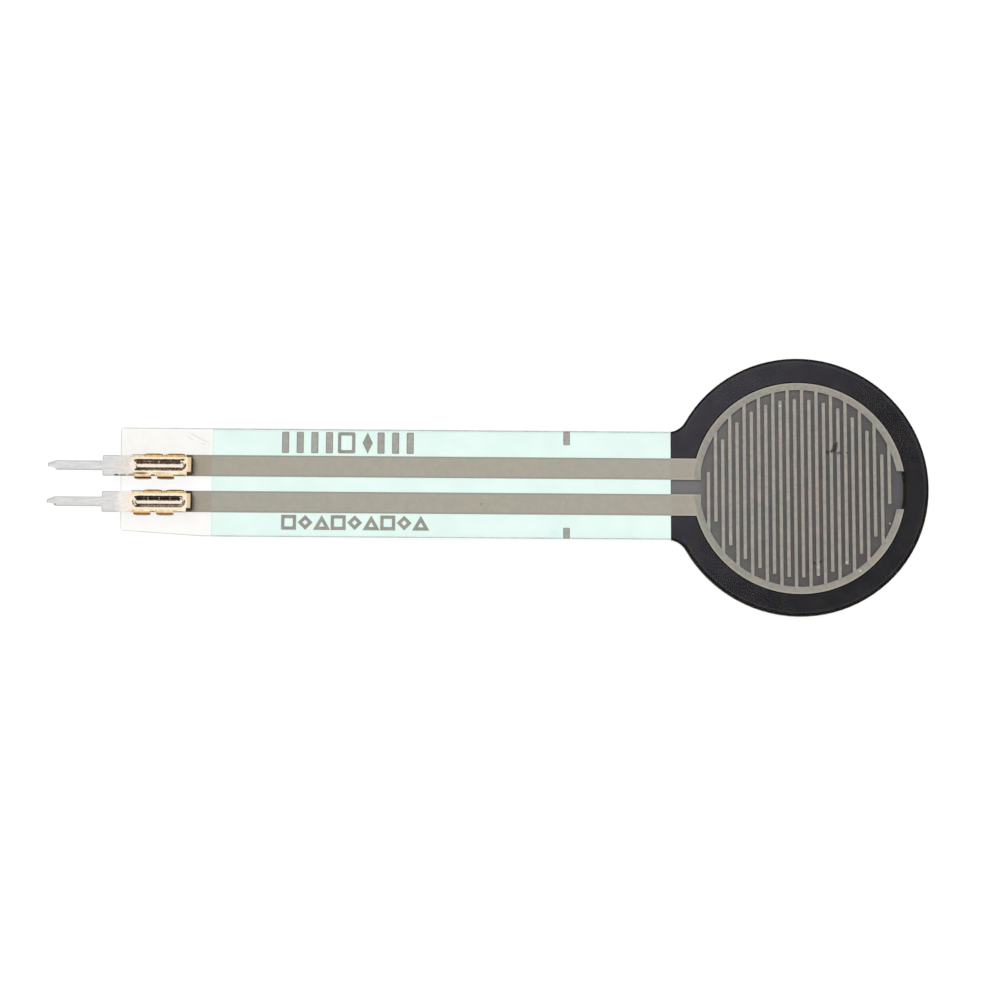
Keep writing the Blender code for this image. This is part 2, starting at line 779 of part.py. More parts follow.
def make_contacts(part):
    plated = finish_of("plated contact", (0.85, 0.72, 0.5), 0.3, metallic=1.0)
    mesh = thicken(part, contact_mesh())
    for name, side in (("upper_contact", 1), ("lower_contact", -1)):
        make_contact(part, name, mesh, contact_middle(side), plated)
    bpy.data.meshes.remove(mesh)


def main():
    clear_scene()
    part = new_collection("force_sensing_resistor")
    cutters = new_collection("cutters")
    silver = finish_of("printed silver", (0.4, 0.38, 0.33), 0.5)
    slits = slit_cutter(cutters)
    make_layers(part)
    make_tail_cover(part)
    make_electrodes(part, slits, silver)
    make_marks(part, silver)
    make_electrode_film(part, slits)
    make_contacts(part)


main()
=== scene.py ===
"""Looks for the round force sensing resistor: its materials, a pale floor, soft light and a camera.

Every visible solid is a CAD node, so this script only dresses them. Places in the
materials are millimetres in the part's own frame, which the nodes share.
"""

import math

import bpy
from mathutils import Euler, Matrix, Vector

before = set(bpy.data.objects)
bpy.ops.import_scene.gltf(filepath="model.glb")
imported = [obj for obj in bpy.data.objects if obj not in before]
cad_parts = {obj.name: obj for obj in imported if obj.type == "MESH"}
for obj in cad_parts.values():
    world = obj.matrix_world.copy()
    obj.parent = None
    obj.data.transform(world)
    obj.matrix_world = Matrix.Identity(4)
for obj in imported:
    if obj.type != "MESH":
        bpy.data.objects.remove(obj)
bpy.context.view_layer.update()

# Millimetres in a metre
MILLIMETRES = 1000.0

# Camera: place in metres, turn in degrees, lens and sensor in millimetres
CAMERA_PLACE = (-0.02418, -0.03120, 0.19196)
CAMERA_TURN = (8.920, -1.019, 0.263)
LENS = 100.0
SENSOR = 36.0
CLIP_START = 0.005

# Studio: places and sizes in metres, powers in watts
FLOOR_SIZE = 3.0
FLOOR_DROP = 0.00001
FLOOR_SHADE = 0.13
FLOOR_GLOW = 0.91
WORLD_LEVEL = 0.6
LAMP_SIZE = 0.5
KEY_PLACE = (-0.25, 0.35, 0.6)
KEY_POWER = 2.3
FILL_PLACE = (0.35, -0.3, 0.5)
FILL_POWER = 1.05
DIRECT_RAYS = ("Is Camera Ray", "Is Glossy Ray", "Is Transmission Ray")

# Plan of the tail, in millimetres
TAIL_END = -47.31
END_SLANT = 0.12
TAIL_EDGE = 3.81
TAPER_LENGTH = 5.6
TAPER_DEPTH = 0.35
COVER_START = -41.03
PITCH = 2.54
TRACE_WIDTH = 1.51
GAP_MIDDLE = -0.23

# Plan of the neck and the disc, in millimetres
NECK = -8.95
RIM_START = -8.0
RING_START = -7.0
FILLET_CENTRE = (-9.19, 5.26)
FILLET_LINE = 1.58
DISC_RADIUS = 9.14
PRINT_SHIFT = (0.03, -0.09)
RING_RADIUS = 7.48
RING_INSIDE = 6.98
RING_GAP_SPAN = (6.4, 7.0)

# Contacts, in millimetres
PIN_TIP = -52.37
PIN_HALF = 0.32
SHOULDER = -48.57
PLATE_HALF = 0.715
PLATE_END = -42.73
TAB_END = -42.33
TAB_SHIFT = 0.09
TAB_HALF = 0.505
FILM_TOP = 0.46
TOOTH_REACH = 0.885
CREASE = 0.63
TROUGH_RIGHT = -43.175
TROUGH_RADIUS = 0.405

# Spans along a contact over which one look gives way to the next, in millimetres
# The pale band over this span is painted glare
GLARE_SPAN = (-47.75, -47.25)
GOLD_SPAN = (-46.9, -46.2)
GLOSS_SPAN = (-47.0, -46.4)
# Painted shade along the plate's edges over this span
EDGE_SHADE_SPAN = (-47.2, -47.6)
FAR_TEETH_SPAN = (-45.85, -45.65)

# Marks on the silver, carbon, film and cover: centre, half sizes, strength, turn in degrees
SMUDGES = [
    ((2.57, 2.79), (0.256, 0.464), 1.0, -26.0),
    ((2.72, 3.06), (0.084, 0.182), 1.0, -30.0),
    ((2.05, 2.48), (0.204, 0.17), 0.85),
    ((2.34, 2.52), (0.15, 0.15), 0.85),
    ((2.88, 2.41), (0.238, 0.153), 0.85),
    ((3.42, 2.44), (0.135, 0.072), 1.0),
    ((1.08, -5.38), (0.165, 0.11), 1.0, -20.0),
    ((1.48, -5.31), (0.168, 0.108), 1.0, 40.0),
]
DUST = [
    ((4.26, -5.91), (0.11, 0.11), 0.6),
    ((6.4, -2.54), (0.09, 0.09), 0.6),
    ((3.29, -5.33), (0.09, 0.09), 0.6),
    ((-1.25, 5.76), (0.09, 0.09), 0.6),
]
RUBS = [
    ((1.28, -5.68), (0.15, 0.15), 0.5),
    ((1.32, -6.22), (0.13, 0.13), 0.5),
]
TRACE_FLECKS = [((-22.2, -1.4), (0.09, 0.09), 0.6)]
SCRATCHES = [
    ((-42.05, 3.17), (1.15, 0.055), 0.08, -27.0),
    ((-42.6, 3.1), (0.45, 0.055), 0.06, -31.0),
    ((-41.7, 2.72), (0.35, 0.055), 0.03, -14.0),
]
BLUE_PATCH = [((-17.05, -3.45), (0.5, 0.35), 0.3, -35.0)]

# How the two contacts differ. Middle, left and shift: the middle line, the start of the trough,
# and how far the painted shade on its walls lies off the middle. Then the colours of the painted
# glare on the flat sheet where tin gives way to gold; far and near: colours of the painted shade
# on the trough's two walls; rim: colour of the painted shade line along the near teeth's ends.
# Flecks: breaks in the far wall's painted shade where bright metal shows. Then brown marks on the
# sheet, partly stains and partly painted shade along the plate's near edge. Flecks and marks each
# have centre, half sizes and strength.
UPPER = {
    "middle": 1.04,
    "left": -46.19,
    "shift": 0.05,
    "glare": ((223, 217, 211), (235, 229, 222)),
    "far": ((78, 42, 32), (186, 134, 108)),
    "near": ((76, 62, 40), (166, 140, 112)),
    "rim": (92, 52, 14),
    "flecks": [
        ((-45.32, 1.3), (0.072, 0.096), 0.3),
        ((-44.675, 1.31), (0.072, 0.096), 0.75),
        ((-43.6, 1.27), (0.072, 0.096), 0.2),
    ],
    "stains_and_shade": [
        ((-47.6, 0.36), (0.22, 0.11), 0.85),
        ((-47.15, 0.35), (0.36, 0.1), 0.7),
        ((-46.6, 0.38), (0.32, 0.1), 0.6),
        ((-45.93, 0.5), (0.75, 0.11), 0.8),
        ((-44.5, 0.51), (0.8, 0.08), 0.3),
        ((-43.2, 0.35), (0.6, 0.1), 0.8),
        ((-45.05, 0.34), (0.2, 0.11), 0.95),
        ((-43.03, 1.47), (0.24, 0.09), 0.9),
        ((-42.93, 1.1), (0.13, 0.06), 0.9),
    ],
}
LOWER = {
    "middle": -1.5,
    "left": -46.1,
    "shift": 0.01,
    "glare": ((239, 231, 223), (250, 242, 234)),
    "far": ((34, 14, 10), (120, 78, 58)),
    "near": ((112, 88, 74), (182, 158, 146)),
    "rim": (142, 100, 42),
    "flecks": [
        ((-45.66, -1.25), (0.072, 0.096), 0.25),
        ((-45.39, -1.25), (0.072, 0.096), 0.65),
        ((-44.615, -1.25), (0.072, 0.096), 0.65),
        ((-43.87, -1.25), (0.072, 0.096), 0.4),
    ],
    "stains_and_shade": [
        ((-46.42, -1.49), (0.08, 0.15), 0.8),
        ((-46.15, -1.78), (0.3, 0.08), 0.6),
        ((-46.37, -1.66), (0.12, 0.11), 0.8),
        ((-45.04, -2.2), (0.18, 0.09), 0.75),
        ((-43.2, -2.2), (0.5, 0.07), 0.5),
        ((-42.95, -1.5), (0.13, 0.07), 0.9),
        ((-51.8, -1.73), (0.07, 0.07), 0.9),
    ],
}


class Look:
    """One material in the making. Each method adds nodes and returns their output."""

    def __init__(self, name):
        self.material = bpy.data.materials.new(name)
        self.material.use_nodes = True
        self.tree = self.material.node_tree
        self.shader = self.tree.nodes["Principled BSDF"]
        coordinates = self.node("ShaderNodeTexCoord")
        self.generated = coordinates.outputs["Generated"]
        self.place = self.vector("SCALE", coordinates.outputs["Object"], scale=MILLIMETRES)
        self.x, self.y, self.z = self.axes(self.place)

    def node(self, kind, **settings):
        node = self.tree.nodes.new(kind)
        for key, value in settings.items():
            setattr(node, key, value)
        return node

    def feed(self, socket, value):
        if isinstance(value, bpy.types.NodeSocket):
            self.tree.links.new(value, socket)
        elif isinstance(value, (tuple, list)) and len(value) == 3 and socket.type == "RGBA":
            socket.default_value = (*value, 1.0)
        else:
            socket.default_value = value

    def set(self, **values):
        """Sets the shader's sockets by name, with _ for a space."""
        for name, value in values.items():
            self.feed(self.shader.inputs[name.replace("_", " ")], value)

    def maths(self, operation, *values, clamp=False):
        node = self.node("ShaderNodeMath", operation=operation, use_clamp=clamp)
        for socket, value in zip(node.inputs, values):
            self.feed(socket, value)
        return node.outputs[0]

    def plus(self, first, second):
        return self.maths("ADD", first, second)

    def minus(self, first, second):
        return self.maths("SUBTRACT", first, second)

    def times(self, first, *others):
        product = first
        for value in others:
            product = self.maths("MULTIPLY", product, value)
        return product

    def off(self, value, centre):
        """How far value lies from a centre, to either side."""
        return self.maths("ABSOLUTE", self.minus(value, centre))

    def join(self, values):
        """The values added up, kept from 0 to 1."""
        total = values[0]
        for value in values[1:]:
            total = self.maths("ADD", total, value, clamp=True)
        return total

    def vector(self, operation, *values, scale=None):
        node = self.node("ShaderNodeVectorMath", operation=operation)
        for socket, value in zip(node.inputs, values):
            self.feed(socket, value)
        if scale is not None:
            self.feed(node.inputs["Scale"], scale)
        return node.outputs["Value" if operation == "LENGTH" else "Vector"]

    def axes(self, vector):
        node = self.node("ShaderNodeSeparateXYZ")
        self.feed(node.inputs[0], vector)
        return list(node.outputs)

    def fade(self, value, start, end, low=0.0, high=1.0):
        """A smooth change from low to high as value goes from start to end."""
        node = self.node("ShaderNodeMapRange", interpolation_type="SMOOTHSTEP")
        for socket, number in zip(node.inputs, (value, start, end, low, high)):
            self.feed(socket, number)
        return node.outputs[0]

    def ramp(self, value, start, end, low, high):
        """A straight change from low to high as value goes from start to end."""
        result = self.fade(value, start, end, low, high)
        result.node.interpolation_type = "LINEAR"
        return result

    def blend(self, share, first, second, mode="MIX"):
        node = self.node("ShaderNodeMix", data_type="RGBA", blend_type=mode)
        self.feed(node.inputs[0], share)
        self.feed(node.inputs[6], first)
        self.feed(node.inputs[7], second)
        return node.outputs[2]

    def noise(self, size, detail=2.0, rough=0.5, stretch=(1.0, 1.0, 1.0)):
        """Noise from 0 to 1 whose grains are about size millimetres."""
        node = self.node("ShaderNodeTexNoise")
        self.feed(node.inputs["Vector"], self.vector("MULTIPLY", self.place, stretch))
        self.feed(node.inputs["Scale"], 1.0 / size)
        self.feed(node.inputs["Detail"], detail)
        self.feed(node.inputs["Roughness"], rough)
        return node.outputs["Fac"]

    def bump(self, height, distance, strength):
        """Raises the surface by up to distance millimetres."""
        node = self.node("ShaderNodeBump")
        self.feed(node.inputs["Height"], height)
        self.feed(node.inputs["Distance"], distance / MILLIMETRES)
        self.feed(node.inputs["Strength"], strength)
        self.feed(self.shader.inputs["Normal"], node.outputs[0])

    def flat_length(self, vector):
        """The length of a vector in plan."""
        return self.vector("LENGTH", self.vector("MULTIPLY", vector, (1.0, 1.0, 0.0)))

    def radius(self, centre=(0.0, 0.0)):
        """Distance in plan from a point."""
        return self.flat_length(self.vector("SUBTRACT", self.place, (*centre, 0.0)))

    def spot(self, centre, half, turn=0.0):
        """1 inside a soft oval with these half sizes round a point in plan, 0 outside it."""
        node = self.node("ShaderNodeMapping", vector_type="TEXTURE")
        self.feed(node.inputs["Vector"], self.place)
        node.inputs["Location"].default_value = (*centre, 0.0)
        node.inputs["Rotation"].default_value = (0.0, 0.0, math.radians(turn))
        node.inputs["Scale"].default_value = (*half, 1.0)
        return self.fade(self.flat_length(node.outputs[0]), 1.0, 0.4)

    def marks(self, rows):
        """Soft ovals added up, from rows of centre, half sizes, strength and perhaps a turn."""
        ovals = []
        for centre, half, strength, *turn in rows:
            ovals.append(self.times(self.spot(centre, half, *turn), strength))
        return self.join(ovals)


def straighten(level):
    """One channel of a colour, from 0 to 1, with the screen's curve undone."""
    return level / 12.92 if level <= 0.04045 else ((level + 0.055) / 1.055) ** 2.4


def linear(red, green, blue):
    """A colour written as it shows, from 0 to 255, as the shader wants it."""
    return tuple(straighten(level / 255.0) for level in (red, green, blue))


def two_tone(look, size, first, second):
    """Wanders between two colours in patches of about size millimetres."""
    return look.blend(look.fade(look.noise(size), 0.35, 0.65), first, second)


def mottle(look, body, size, first, second):
    """The body colour times a tint that wanders between two shades."""
    return look.blend(1.0, body, two_tone(look, size, first, second), "MULTIPLY")


def smudges(look):
    """Ragged ink smudges that the silver and the carbon share."""
    ragged = look.fade(look.noise(0.12), 0.35, 0.6, 0.45, 1.0)
    return look.times(look.marks(SMUDGES), ragged)


def disc_slope(look):
    """0 at the neck side of the disc, where the light is strongest, 1 at the far side."""
    return look.fade(look.plus(look.x, look.times(look.y, -0.4)), -7.0, 5.0)


def trace_distance(look):
    """Distance outside the nearer trace's long edges; negative inside the trace."""
    off_middle = look.off(look.y, PRINT_SHIFT[1])
    return look.minus(look.off(off_middle, PITCH / 2), TRACE_WIDTH / 2)


def tab_shadow(look):
    """Painted shadow on the traces, beside and behind the contacts' tabs and at the corner by each
    plate's end.
    """
    places = []
    for contact in (UPPER, LOWER):
        away = look.minus(look.off(look.y, contact["middle"] + TAB_SHIFT), TAB_HALF)
        beside = look.times(look.fade(away, -0.05, 0.0), look.fade(away, 0.2, 0.05))
        along = look.fade(look.x, TAB_END - 0.02, TAB_END - 0.1)
        places.append(look.times(beside, along))
        behind = look.times(look.fade(away, 0.15, 0.0), look.fade(look.x, TAB_END + 0.22, TAB_END))
        places.append(look.times(behind, 0.45))
        places.append(look.spot((PLATE_END + 0.12, contact["middle"] + 0.8), (0.4, 0.18)))
    return look.join(places)


def electrode_body(look):
    """The electrodes' colour: darker on bare film, warm at the neck, palest on the fingers."""
    on_cover = look.fade(look.x, COVER_START - 0.1, COVER_START + 0.1)
    body = look.blend(on_cover, linear(143, 133, 128), linear(153, 151, 140))
    on_neck = look.fade(look.x, NECK - 0.05, NECK + 0.05)
    body = look.blend(on_neck, body, linear(144, 136, 127))
    on_disc = look.fade(look.x, RING_START - 0.7, RING_START)
    body = look.blend(on_disc, body, linear(150, 147, 140))
    on_fingers = look.fade(look.radius(PRINT_SHIFT), RING_INSIDE + 0.03, RING_INSIDE - 0.03)
    # Painted light: fingers paler at the neck side of the disc, darker at the far side
    fingers = look.blend(disc_slope(look), linear(162, 159, 153), linear(156, 151, 145))
    return look.blend(on_fingers, body, fingers)


def electrode_lines(look, body):
    """Lines along the silver's edges: dark on the tail, pale at the neck, and a painted highlight
    round the ring.
    """
    edge = look.fade(trace_distance(look), -0.14, -0.09)
    on_tail = look.fade(look.x, NECK + 0.02, NECK - 0.02)
    body = look.blend(look.times(edge, on_tail, 0.85), body, linear(110, 113, 106))
    past_neck = look.fade(look.x, NECK - 0.02, NECK + 0.02)
    before_ring = look.fade(look.x, RING_START, RING_START - 0.3)
    body = look.blend(look.times(edge, past_neck, before_ring, 0.6), body, linear(180, 174, 162))
    # Painted highlight along the ring's outer edge
    rim = look.fade(look.radius(PRINT_SHIFT), RING_RADIUS - 0.16, RING_RADIUS - 0.03)
    return look.blend(look.times(rim, 0.5), body, linear(180, 175, 162))


def electrode_marks(look, body):
    """Smudges, brighter rubbed spots, dust, a fleck, and painted shadow by the contacts' tabs on
    the electrodes.
    """
    body = look.blend(look.times(smudges(look), 0.92), body, linear(28, 24, 20))
    body = look.blend(look.marks(RUBS), body, linear(190, 188, 180))
    body = look.blend(look.marks(DUST), body, linear(225, 223, 218))
    body = look.blend(look.marks(TRACE_FLECKS), body, linear(90, 86, 80))
    # Painted shadow beside and behind each contact's tab
    return look.blend(look.times(tab_shadow(look), 0.92), body, linear(40, 23, 13))


def bar_lines(look, body):
    """A darker line along the edges of a bar, wherever the bar stands."""
    wide, long, _ = look.axes(look.generated)
    across = look.fade(look.off(wide, 0.5), 0.35, 0.44)
    along = look.fade(look.off(long, 0.5), 0.455, 0.48)
    edge = look.join([across, along])
    return look.blend(look.times(edge, 0.8), body, linear(122, 125, 117))


def silver_look(name, body_of, *layers):
    """Printed silver ink: a grained body colour, then the layers over it."""
    look = Look(name)
    body = mottle(look, body_of(look), 1.3, (0.97, 1.015, 0.99), (1.04, 0.975, 0.985))
    body = mottle(look, body, 0.55, (0.94, 0.96, 0.985), (1.06, 1.035, 1.0))
    body = mottle(look, body, 0.25, (0.93, 0.93, 0.93), (1.07, 1.07, 1.07))
    grain = look.noise(0.07, 3.0, 0.7)
    body = look.blend(look.fade(grain, 0.35, 0.65, 0.0, 0.16), body, linear(118, 116, 108))
    for layer in layers:
        body = layer(look, body)
    look.set(Base_Color=body, Metallic=0.1, Specular_IOR_Level=0.2)
    look.set(Roughness=look.fade(grain, 0.3, 0.7, 0.42, 0.6))
    look.bump(grain, 0.004, 0.5)
    return look.material


def electrode_look():
    return silver_look("silver_ink", electrode_body, electrode_lines, electrode_marks)


def bar_look():
    return silver_look("silver_bars", lambda look: linear(166, 166, 159), bar_lines)


def mark_look():
    return silver_look("silver_marks", lambda look: linear(150, 151, 142))


def carbon_look():
    """Resistive ink: dark grey, faintly mottled, lighter at the neck side of the disc as painted
    light, with a lighter grey in the vent and a darker one in the gap.
    """
    look = Look("carbon_ink")
    # Painted light: lighter at the neck side of the disc, darker at the far side
    body = look.blend(disc_slope(look), linear(107, 104, 103), linear(88, 85, 85))
    body = mottle(look, body, 1.1, (0.93, 0.94, 0.96), (1.06, 1.05, 1.04))
    body = mottle(look, body, 0.5, (0.9, 1.0, 0.98), (1.08, 0.98, 1.06))
    grain = look.noise(0.05, 3.0, 0.7)
    body = look.blend(look.fade(grain, 0.35, 0.7, 0.0, 0.4), body, linear(70, 68, 71))
    in_vent = look.fade(look.x, RING_START + 0.5, RING_START - 0.3)
    body = look.blend(in_vent, body, linear(112, 110, 112))
    body = look.blend(look.fade(look.x, *RING_GAP_SPAN), body, linear(83, 82, 86))
    body = look.blend(look.times(smudges(look), 0.95), body, linear(26, 22, 20))
    body = look.blend(look.marks(DUST), body, linear(200, 200, 200))
    look.set(Base_Color=body, Specular_IOR_Level=0.2)
    look.set(Roughness=look.fade(grain, 0.3, 0.7, 0.5, 0.72))
    look.bump(grain, 0.003, 0.6)
    return look.material


def rim_line(look):
    """The spacer's outer edge: round the disc, thinner at its top, and along both fillets."""
    thinner = look.fade(look.y, -4.0, 3.0, 0.0, 0.06)
    outer = look.fade(look.minus(look.radius(), thinner), DISC_RADIUS - 0.245, DISC_RADIUS - 0.195)
    outer = look.times(outer, look.fade(look.x, RIM_START - 0.05, RIM_START + 0.1))
    x, y = FILLET_CENTRE
    corner = look.maths("MINIMUM", look.radius((x, y)), look.radius((x, -y)))
    corner = look.fade(corner, FILLET_LINE + 0.05, FILLET_LINE)
    corner = look.times(corner, look.fade(look.x, RIM_START + 0.15, RIM_START))
    return look.join([outer, corner])


def spacer_lines(look):
    """All of the spacer's dark edges: its rim, its opening, and its cuts at the neck."""
    inner = look.fade(look.radius(PRINT_SHIFT), RING_RADIUS + 0.12, RING_RADIUS + 0.06)
    cut = look.fade(look.x, NECK + 0.1, NECK + 0.03)
    beside = look.fade(trace_distance(look), 0.1, 0.03)
    beside = look.times(beside, look.fade(look.x, RING_START, RING_START - 0.3))
    at_neck = look.times(look.join([cut, beside]), 0.8)
    return look.join([rim_line(look), inner, at_neck])


def spacer_look():
    """Black adhesive ring under the glossy film, darkest along its edges, with painted light:
    lighter towards the upper left, and a faint painted sheen inside the rim.
    """
    look = Look("black_adhesive")
    # Painted light: lighter towards the upper left of the disc
    light_slope = look.minus(look.times(look.y, 0.6), look.times(look.x, 0.8))
    body = look.blend(look.fade(light_slope, -5.0, 9.5), linear(24, 24, 33), linear(49, 48, 57))
    body = mottle(look, body, 2.0, (0.9, 0.9, 0.92), (1.1, 1.1, 1.08))
    grain = look.noise(0.09, 2.0)
    body = look.blend(look.fade(grain, 0.55, 0.75, 0.0, 0.3), body, linear(54, 53, 57))
    # Painted sheen: a faint pale line just inside the rim
    painted_sheen = look.fade(look.radius(), DISC_RADIUS - 0.4, DISC_RADIUS - 0.28)
    painted_sheen = look.times(painted_sheen, look.fade(look.x, RIM_START - 0.3, RIM_START), 0.2)
    body = look.blend(painted_sheen, body, linear(78, 72, 92))
    body = look.blend(look.times(spacer_lines(look), 0.98), body, linear(2, 1, 1))
    look.set(Base_Color=body, Roughness=look.fade(grain, 0.4, 0.7, 0.2, 0.3))
    look.set(Specular_IOR_Level=0.05)
    look.bump(grain, 0.002, 0.3)
    return look.material


def base_film_look():
    """Dark film that carries the carbon, with a faint haze."""
    look = Look("base_film")
    haze = look.noise(0.6, 3.0)
    look.set(Base_Color=look.blend(haze, linear(24, 20, 18), linear(40, 34, 30)))
    look.set(Roughness=look.fade(haze, 0.3, 0.7, 0.25, 0.4), Specular_IOR_Level=0.4)
    look.bump(haze, 0.004, 0.3)
    return look.material


def rear_adhesive_look():
    """Amber brown adhesive with a fine pressed grain."""
    look = Look("rear_adhesive")
    grain = look.noise(0.35, 4.0, 0.6)
    look.set(Base_Color=look.blend(grain, linear(58, 38, 22), linear(98, 68, 40)))
    look.set(Roughness=look.fade(grain, 0.3, 0.7, 0.35, 0.6))
    look.bump(grain, 0.01, 0.5)
    return look.material


def tail_edge(look):
    """Distance inside the nearest cut edge of the tail."""
    top = look.minus(TAIL_EDGE, look.y)
    lean = look.ramp(look.y, TAPER_DEPTH - TAIL_EDGE, TAIL_EDGE, 0.0, END_SLANT)
    end = look.plus(look.minus(look.x, TAIL_END), lean)
    rise = look.ramp(end, 0.0, TAPER_LENGTH, TAPER_DEPTH, 0.0)
    low = look.minus(look.plus(look.y, TAIL_EDGE), rise)
    return look.maths("MINIMUM", look.maths("MINIMUM", top, low), end)


def film_line(look):
    """The grey line along the tail's cut edges, fainter across its end."""
    edge = look.fade(tail_edge(look), 0.07, 0.035)
    on_tail = look.fade(look.x, NECK, NECK - 0.1)
    uneven = look.fade(look.noise(0.8), 0.3, 0.7, 0.2, 0.3)
    fainter = look.fade(look.x, TAIL_END + 0.3, TAIL_END + 0.15, 1.0, 0.7)
    return look.times(edge, on_tail, uneven, fainter)


def film_cloud(look, haze):
    """Faint cloud on the bare end, thinner below the contacts and thinnest between them, which
    paints light over the contacts' shadow.
    """
    cloud = look.fade(haze, 0.35, 0.65, 0.07, 0.088)
    clear_gap = look.fade(look.off(look.y, GAP_MIDDLE), 0.6, 0.9, 0.15, 1.0)
    clear_below = look.fade(look.y, -1.5, -1.0, 0.6, 1.0)
    bare = look.fade(look.x, COVER_START, COVER_START - 0.2)
    return look.times(cloud, clear_gap, clear_below, bare)


def film_look():
    """Clear film: nearly unseen, with a grey line where its cut edge bends the light."""
    look = Look("clear_film")
    haze = look.noise(0.9, 3.0)
    line = film_line(look)
    scratches = look.marks(SCRATCHES)
    veil = look.join([line, scratches, film_cloud(look, haze)])
    opacity = look.join([look.fade(haze, 0.3, 0.7, 0.006, 0.012), veil])
    grey = look.join([look.fade(line, 0.0, 0.1), look.fade(scratches, 0.0, 0.03)])
    body = look.blend(grey, linear(205, 195, 150), linear(120, 124, 122))
    look.set(Base_Color=body, Alpha=opacity, Roughness=look.fade(haze, 0.3, 0.7, 0.08, 0.14))
    return look.material


def cover_look():
    """Pale green print: thin, slightly uneven and a touch stronger at its edge."""
    look = Look("pale_green_cover")
    drift = look.fade(look.noise(2.2, 3.0), 0.3, 0.7)
    body = look.blend(drift, linear(229, 250, 244), linear(234, 253, 248))
    edge = look.fade(look.x, COVER_START + 0.09, COVER_START + 0.01)
    body = look.blend(look.times(edge, 0.7), body, linear(205, 238, 228))
    body = look.blend(look.marks(BLUE_PATCH), body, linear(196, 232, 240))
    grain = look.noise(0.06, 2.0)
    look.set(Base_Color=body, Alpha=look.fade(grain, 0.3, 0.7, 0.93, 0.97))
    look.set(Roughness=0.5, Specular_IOR_Level=0.2)
    look.bump(grain, 0.002, 0.3)
    return look.material


def facing_up(look):
    """1 where a surface faces up, 0 on a wall, -1 where it faces down."""
    return look.axes(look.node("ShaderNodeNewGeometry").outputs["Normal"])[2]


def trough(look, contact):
    """Distance inside the rim of a contact's trough, across its middle and past its ends."""
    half = (TROUGH_RIGHT - contact["left"]) / 2
    centre = (TROUGH_RIGHT + contact["left"]) / 2
    beyond = look.maths("MAXIMUM", look.minus(look.off(look.x, centre), half), 0.0)
    across = look.minus(look.y, contact["middle"] + contact["shift"])
    squares = look.plus(look.maths("POWER", beyond, 2.0), look.times(across, across))
    inside = look.minus(TROUGH_RADIUS, look.maths("SQRT", squares))
    return inside, across, beyond


def unshaded_ends(look, contact, depth, across, beyond):
    """Where the trough's wall is left without painted shade: its left end, most of its right end, a
    painted glint and flecks.
    """
    aside = look.minus(look.maths("ABSOLUTE", across), beyond)
    aside = look.plus(aside, look.fade(across, 0.05, -0.05, 0.0, -0.1))
    left = look.fade(look.x, contact["left"] + 0.06, contact["left"])
    left = look.times(left, look.fade(aside, 0.1, 0.03))
    right = look.fade(look.x, TROUGH_RIGHT - 0.04, TROUGH_RIGHT + 0.04)
    thin = look.minus(depth, look.fade(across, 0.1, -0.15, 0.0, 0.07))
    right = look.times(right, look.fade(thin, 0.07, 0.1))
    glint_y = contact["middle"] + contact["shift"] + 0.2
    glint = look.spot((TROUGH_RIGHT + 0.27, glint_y), (0.16, 0.16))
    return look.join([left, right, glint, look.marks(contact["flecks"])])


def shade_on_walls(look, contact, inside, across):
    """Painted shade on the trough's walls: darkest on the far side and at its rim, brown on the
    near side.
    """
    speck = look.fade(look.noise(0.13, 3.0, 0.6), 0.42, 0.66)
    far_low, far_high = [linear(*shade) for shade in contact["far"]]
    far = look.blend(speck, far_low, far_high)
    far = look.blend(look.fade(inside, 0.13, 0.09), far, linear(8, 3, 2))
    near_low, near_high = [linear(*shade) for shade in contact["near"]]
    near = look.blend(speck, near_low, near_high)
    at_left = look.fade(look.x, contact["left"] + 0.35, contact["left"] + 0.1)
    near = look.blend(at_left, near, linear(62, 46, 28))
    return look.blend(look.fade(across, -0.04, 0.04), near, far)


def trough_look(look, body, contact):
    """The trough in the plate: a painted highlight along the rim, painted shade on the walls and a
    bare floor.
    """
    inside, across, beyond = trough(look, contact)
    # Painted highlight along the trough's rim
    rim = look.times(look.fade(inside, -0.12, -0.03), look.fade(inside, 0.05, 0.0))
    body = look.blend(look.times(rim, 0.6), body, linear(255, 251, 238))
    bare = look.blend(look.noise(0.15), linear(240, 226, 208), linear(255, 248, 234))
    body = look.blend(look.fade(inside, -0.02, 0.02), body, bare)

    ragged = look.times(look.minus(look.noise(0.16, 2.0), 0.5), 0.07)
    depth = look.plus(inside, ragged)
    # Painted shade on the upper faces of the walls
    wall_shade = look.times(look.fade(depth, -0.02, 0.01), look.fade(depth, 0.31, 0.28))
    ends = unshaded_ends(look, contact, depth, across, beyond)
    on_top = look.fade(facing_up(look), -0.4, -0.1)
    wall_shade = look.times(wall_shade, look.minus(1.0, ends), on_top)
    return look.blend(look.times(wall_shade, 0.97), body, shade_on_walls(look, contact, inside, across))


def edge_look(look, body, contact):
    """Painted shade: grey lines where the stamped edges of the pin and the shoulder turn down."""
    reach = look.off(look.y, contact["middle"])
    on_pin = look.fade(look.x, SHOULDER, SHOULDER - 0.03)
    pin_edge = look.times(on_pin, look.fade(reach, PIN_HALF - 0.08, PIN_HALF - 0.03))
    plate_edge = look.fade(reach, PLATE_HALF - 0.08, PLATE_HALF - 0.03)
    plate_edge = look.times(plate_edge, look.fade(look.x, *EDGE_SHADE_SPAN))
    shoulder_end = look.fade(look.x, SHOULDER + 0.08, SHOULDER + 0.03)
    beside_pin = look.fade(reach, PIN_HALF - 0.02, PIN_HALF + 0.02)
    shoulder_end = look.times(shoulder_end, beside_pin, look.minus(1.0, on_pin))
    edge = look.join([pin_edge, plate_edge, shoulder_end])
    return look.blend(look.times(edge, 0.75), body, linear(182, 180, 178))


